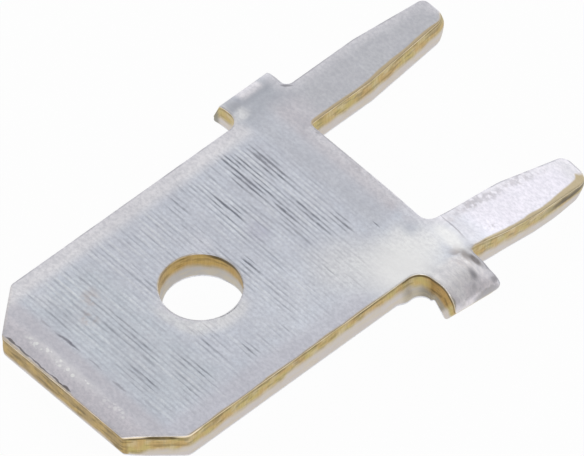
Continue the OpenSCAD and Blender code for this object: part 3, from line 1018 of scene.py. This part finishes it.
def shearedEdge():
    tree, given, out = startGroup("shearedEdge", ["Edge", "Place"], ["Wall", "Color", "Roughness", "Height"])
    b = brass
    edge = split(given["Edge"])
    axes = split(given["Place"])
    level = edge["Y"]
    run = addNode(tree, "CombineXYZ", {0: edge["Z"], 1: level, 2: 0.0}).outputs[0]

    def oval(name):
        return spot(given["Place"], *b[name])

    def ramp(value, name):
        return band(value, *b[name])

    names = ("wander", "patches", "others", "pulls", "streaks")
    wander, patches, others, pulls, streaks = [grain(run, **b[name]) for name in names]
    inHole = oval("hole")
    inRoot = oval("root")
    atClip = oval("clip")
    atTip = ramp(axes["Y"], "tipY")
    rightOfRoot = times(inRoot, ramp(axes["X"], "rightOfRootX"))
    bentPinEnd = times(ramp(axes["Y"], "bentEndY"), ramp(axes["X"], "rightPinX"))
    # brass
    color = paint(ramp(patches, "warmRamp"), b["color"], b["warmColor"])
    color = paint(ramp(others, "paleRamp"), color, b["paleColor"])
    color = paint(times(inHole, b["holeShare"]), color, b["holeColor"])
    tipShade = paint(ramp(patches, "tipWarmRamp"), b["tipColor"], b["tipWarmColor"])
    color = paint(times(atTip, b["tipShare"]), color, tipShade)
    color = paint(times(rightOfRoot, b["rootShare"]), color, b["rootColor"])
    color = paint(ramp(pulls, "pullRamp"), color, b["darkColor"])
    rougher = most(times(most(atTip, rightOfRoot), b["roughPlaces"]), b["roughElsewhere"])
    streakShare = times(ramp(streaks, "streakRamp"), times(rougher, b["streakShare"]))
    color = paint(streakShare, color, b["darkColor"])
    # silver
    height = linear(wander, b["silverWander"], calc("ADD", level, b["silverLift"]))
    lifts = [(atTip, "tipLift"), (field(axes, *b["rightSide"]), "rightSideLift"), (atClip, "clipLift"),
             (oval("clipCorner"), "clipCornerLift"), (rightOfRoot, "rootLift")]
    for mask, lift in lifts:
        height = linear(mask, b[lift], height)
    # painted shade in the concave root fillet
    shadedRootSilver = paint(ramp(axes["X"], "deepRootShadeX"), b["shadedRootSilver"], b["deepShadedRootSilver"])
    silver = paint(inRoot, b["silver"], shadedRootSilver)
    silver = paint(inHole, silver, b["holeSilver"])
    silver = paint(ramp(streaks, "paleStreakRamp"), silver, b["paleColor"])
    color = paint(ramp(height, "silverRamp"), color, silver)
    # the bent pin's end and the left shoulder's corner
    wavy = linear(wander, b["wavy"], level)
    groove = times(ramp(wavy, "grooveFrom"), ramp(wavy, "grooveTo"), bentPinEnd, b["grooveShare"])
    color = paint(groove, color, b["darkColor"])
    bulge = times(ramp(wavy, "bulgeRamp"), bentPinEnd, b["bulgeShare"])
    color = paint(bulge, color, b["paleColor"])
    corner = times(ramp(axes["X"], "leftCornerX"), ramp(axes["Y"], "leftCornerY"), b["cornerShare"])
    color = paint(corner, color, b["cornerColor"])
    # painted shade: a dark line just below the upper rim
    onPins = times(ramp(axes["Y"], "pinRootY"), ramp(axes["Y"], "pinMiddleY"))
    upper = ramp(level, "lineFrom")
    torn = grain(run, **b["torn"])
    line = times(upper, ramp(level, "lineTo"), ramp(torn, "lineBroken"), without(onPins))
    line = most(line, times(upper, times(inRoot, b["rootLine"])))
    rightHole = times(inHole, ramp(axes["X"], "rightHoleX"), b["rightHoleLine"])
    clipped = times(atClip, ramp(torn, "clipBroken"))
    thick = ramp(linear(wander, b["thickWavy"], level), "thickLine")
    thick = times(thick, most(rightHole, oval("holeFar"), clipped), b["thickShare"])
    color = paint(most(line, thick), color, b["darkColor"])
    # painted highlight: a bright cream rim
    glint = times(ramp(level, "glintFrom"), ramp(grain(run, **b["glints"]), "glintBroken"),
                  without(times(inHole, b["glintLess"])))
    bright = times(most(oval("brightTip"), oval("brightSide")), ramp(level, "brightFrom"))
    color = paint(most(glint, bright), color, b["cream"])
    return giveOut(out, {
        "Wall": ramp(edge["X"], "wallRamp"),
        "Color": color,
        "Roughness": linear(patches, b["roughSpread"], b["roughness"]),
        "Height": times(calc("ADD", pulls, others), b["grainDepth"]),
    })


tinnedSheet = {
    "underShift": (0.4, 0.6, 60, 0),  # ramp over the share of the height, to a shift in mm
    "lineDepth": 0.001,  # mm
    "bumpDistance": 0.001,  # m, since the heights are in mm
}


def tinnedBrass():
    material = bpy.data.materials.new("tinnedBrass")
    tree = clearTree(material)
    kept = [addNode(tree, "Attribute", attribute_name=name).outputs
            for name in ("flatPlace", "edgePlace", "rimGap", "rimWay")]
    place, edgePlace, gap, way = kept[0]["Vector"], kept[1]["Vector"], kept[2]["Fac"], kept[3]["Vector"]
    lines = useGroup(tree, rolledLines(), {"Place": place})
    # the underside takes its face from far away, where the upper side's marks don't reach
    lower = band(split(edgePlace)["Y"], *tinnedSheet["underShift"])
    facePlace = vector("ADD", place, lower)[0]
    given = {"Place": facePlace, "Gap": gap, "Way": way, "Dark": lines["Dark"], "Light": lines["Light"]}
    face = useGroup(tree, tinFace(), given)
    edge = useGroup(tree, shearedEdge(), {"Edge": edgePlace, "Place": place})
    color = paint(edge["Wall"], face["Color"], edge["Color"])
    faceHeight = linear(lines["Height"], tinnedSheet["lineDepth"], face["Height"])
    height = addNode(tree, "Mix", {0: edge["Wall"], 2: faceHeight, 3: edge["Height"]}).outputs[0]
    rough = addNode(tree, "Mix", {0: edge["Wall"], 2: face["Roughness"], 3: edge["Roughness"]}).outputs[0]
    bumped = {"Distance": tinnedSheet["bumpDistance"], "Height": height, "Strength": 1.0}
    bump = addNode(tree, "Bump", bumped).outputs[0]
    surface = {"Base Color": color, "Metallic": 1.0, "Roughness": rough, "Normal": bump}
    shader = addNode(tree, "BsdfPrincipled", surface)
    addNode(tree, "OutputMaterial", {"Surface": shader.outputs[0]})
    return material


photoCamera = {
    "target": (-0.12839, 0.13844, 1.28117),  # mm
    "distance": 325.894,
    "azimuth": 45.618,  # from -Y towards +X
    "elevation": 46.150,
    "roll": 3.458,
    "lens": 843.72,
    "sensor": 36,
    "clip": (0.01, 20),  # m
}


def addCamera():
    c = photoCamera
    az, el = math.radians(c["azimuth"]), math.radians(c["elevation"])
    back = Vector((math.sin(az) * math.cos(el), -math.cos(az) * math.cos(el), math.sin(el)))
    level = Vector((0, 0, 1)).cross(back).normalized()
    upright = back.cross(level)
    roll = math.radians(c["roll"])
    right = level * math.cos(roll) + upright * math.sin(roll)
    up = back.cross(right)
    data = bpy.data.cameras.new("photoCamera")
    data.lens = c["lens"]
    data.sensor_fit = "HORIZONTAL"
    data.sensor_width = c["sensor"]
    data.clip_start, data.clip_end = c["clip"]
    camera = addObject("photoCamera", data)
    turn = Matrix((right, up, back)).transposed().to_4x4()
    spotAt = (Vector(c["target"]) + back * c["distance"]) / mmPerMetre
    camera.matrix_world = Matrix.Translation(spotAt) @ turn
    bpy.context.scene.camera = camera
    print("camera placed")


studio = {
    "floorRadius": 1.5,
    "floorLevel": -0.00001,  # just under the terminal
    "floorSides": 96,
    "floorColor": (0.86, 0.86, 0.86, 1),
    "floorOwnWhite": 0.96,  # share of plain white that camera, glossy and transmission rays see
    "skyBase": 0.51,
    "skyBright": 1.03,
    "skyTint": (1.0, 1.0, 1.0, 1),
    "brightFrom": (-0.563, 0.82, 0.102),  # low and behind on the left
    "brightPower": 3.0,
    "lampFrom": (0.35, -0.6, 0.72),
    "lampDistance": 0.6,
    "lampSize": 0.4,
    "lampPower": 0.55,
}


def addFloor():
    s = studio
    count = s["floorSides"]
    radius = s["floorRadius"]
    angles = [2 * math.pi * k / count for k in range(count)]
    ring = [(radius * math.cos(a), radius * math.sin(a), s["floorLevel"]) for a in angles]
    mesh = bpy.data.meshes.new("studioFloor")
    mesh.from_pydata(ring, [], [tuple(range(count))])
    floor = addObject("studioFloor", mesh)
    material = bpy.data.materials.new("studioFloor")
    tree = clearTree(material)
    rays = addNode(tree, "LightPath").outputs
    seen = most(rays["Is Camera Ray"], rays["Is Glossy Ray"], rays["Is Transmission Ray"])
    share = times(seen, s["floorOwnWhite"])
    matt = addNode(tree, "BsdfDiffuse", {"Color": s["floorColor"]}).outputs[0]
    white = addNode(tree, "Emission", {"Color": (1, 1, 1, 1), "Strength": 1.0}).outputs[0]
    mixed = addNode(tree, "MixShader", {0: share, 1: matt, 2: white}).outputs[0]
    addNode(tree, "OutputMaterial", {"Surface": mixed})
    mesh.materials.append(material)
    print("floor laid")


def addLight():
    s = studio
    bpy.context.scene.view_settings.view_transform = "Standard"
    world = bpy.data.worlds.new("studioWorld")
    bpy.context.scene.world = world
    tree = clearTree(world)
    way = addNode(tree, "TexCoord").outputs["Generated"]
    facing = vector("DOT_PRODUCT", way, s["brightFrom"])["Value"]
    glow = calc("POWER", most(facing, 0.0), s["brightPower"])
    level = linear(glow, s["skyBright"], s["skyBase"])
    sky = addNode(tree, "Background", {"Color": s["skyTint"], "Strength": level}).outputs[0]
    addNode(tree, "OutputWorld", {"Surface": sky})
    data = bpy.data.lights.new("softLamp", "AREA")
    data.shape = "DISK"
    data.size = s["lampSize"]
    data.energy = s["lampPower"]
    lamp = addObject("softLamp", data)
    toward = Vector(s["lampFrom"]).normalized()
    lamp.location = toward * s["lampDistance"]
    lamp.rotation_euler = toward.to_track_quat("Z", "Y").to_euler()
    print("light set")


addCamera()
terminal = buildTerminal()
terminal.data.materials.append(tinnedBrass())
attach(terminal, "root")
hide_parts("terminal")
addFloor()
addLight()
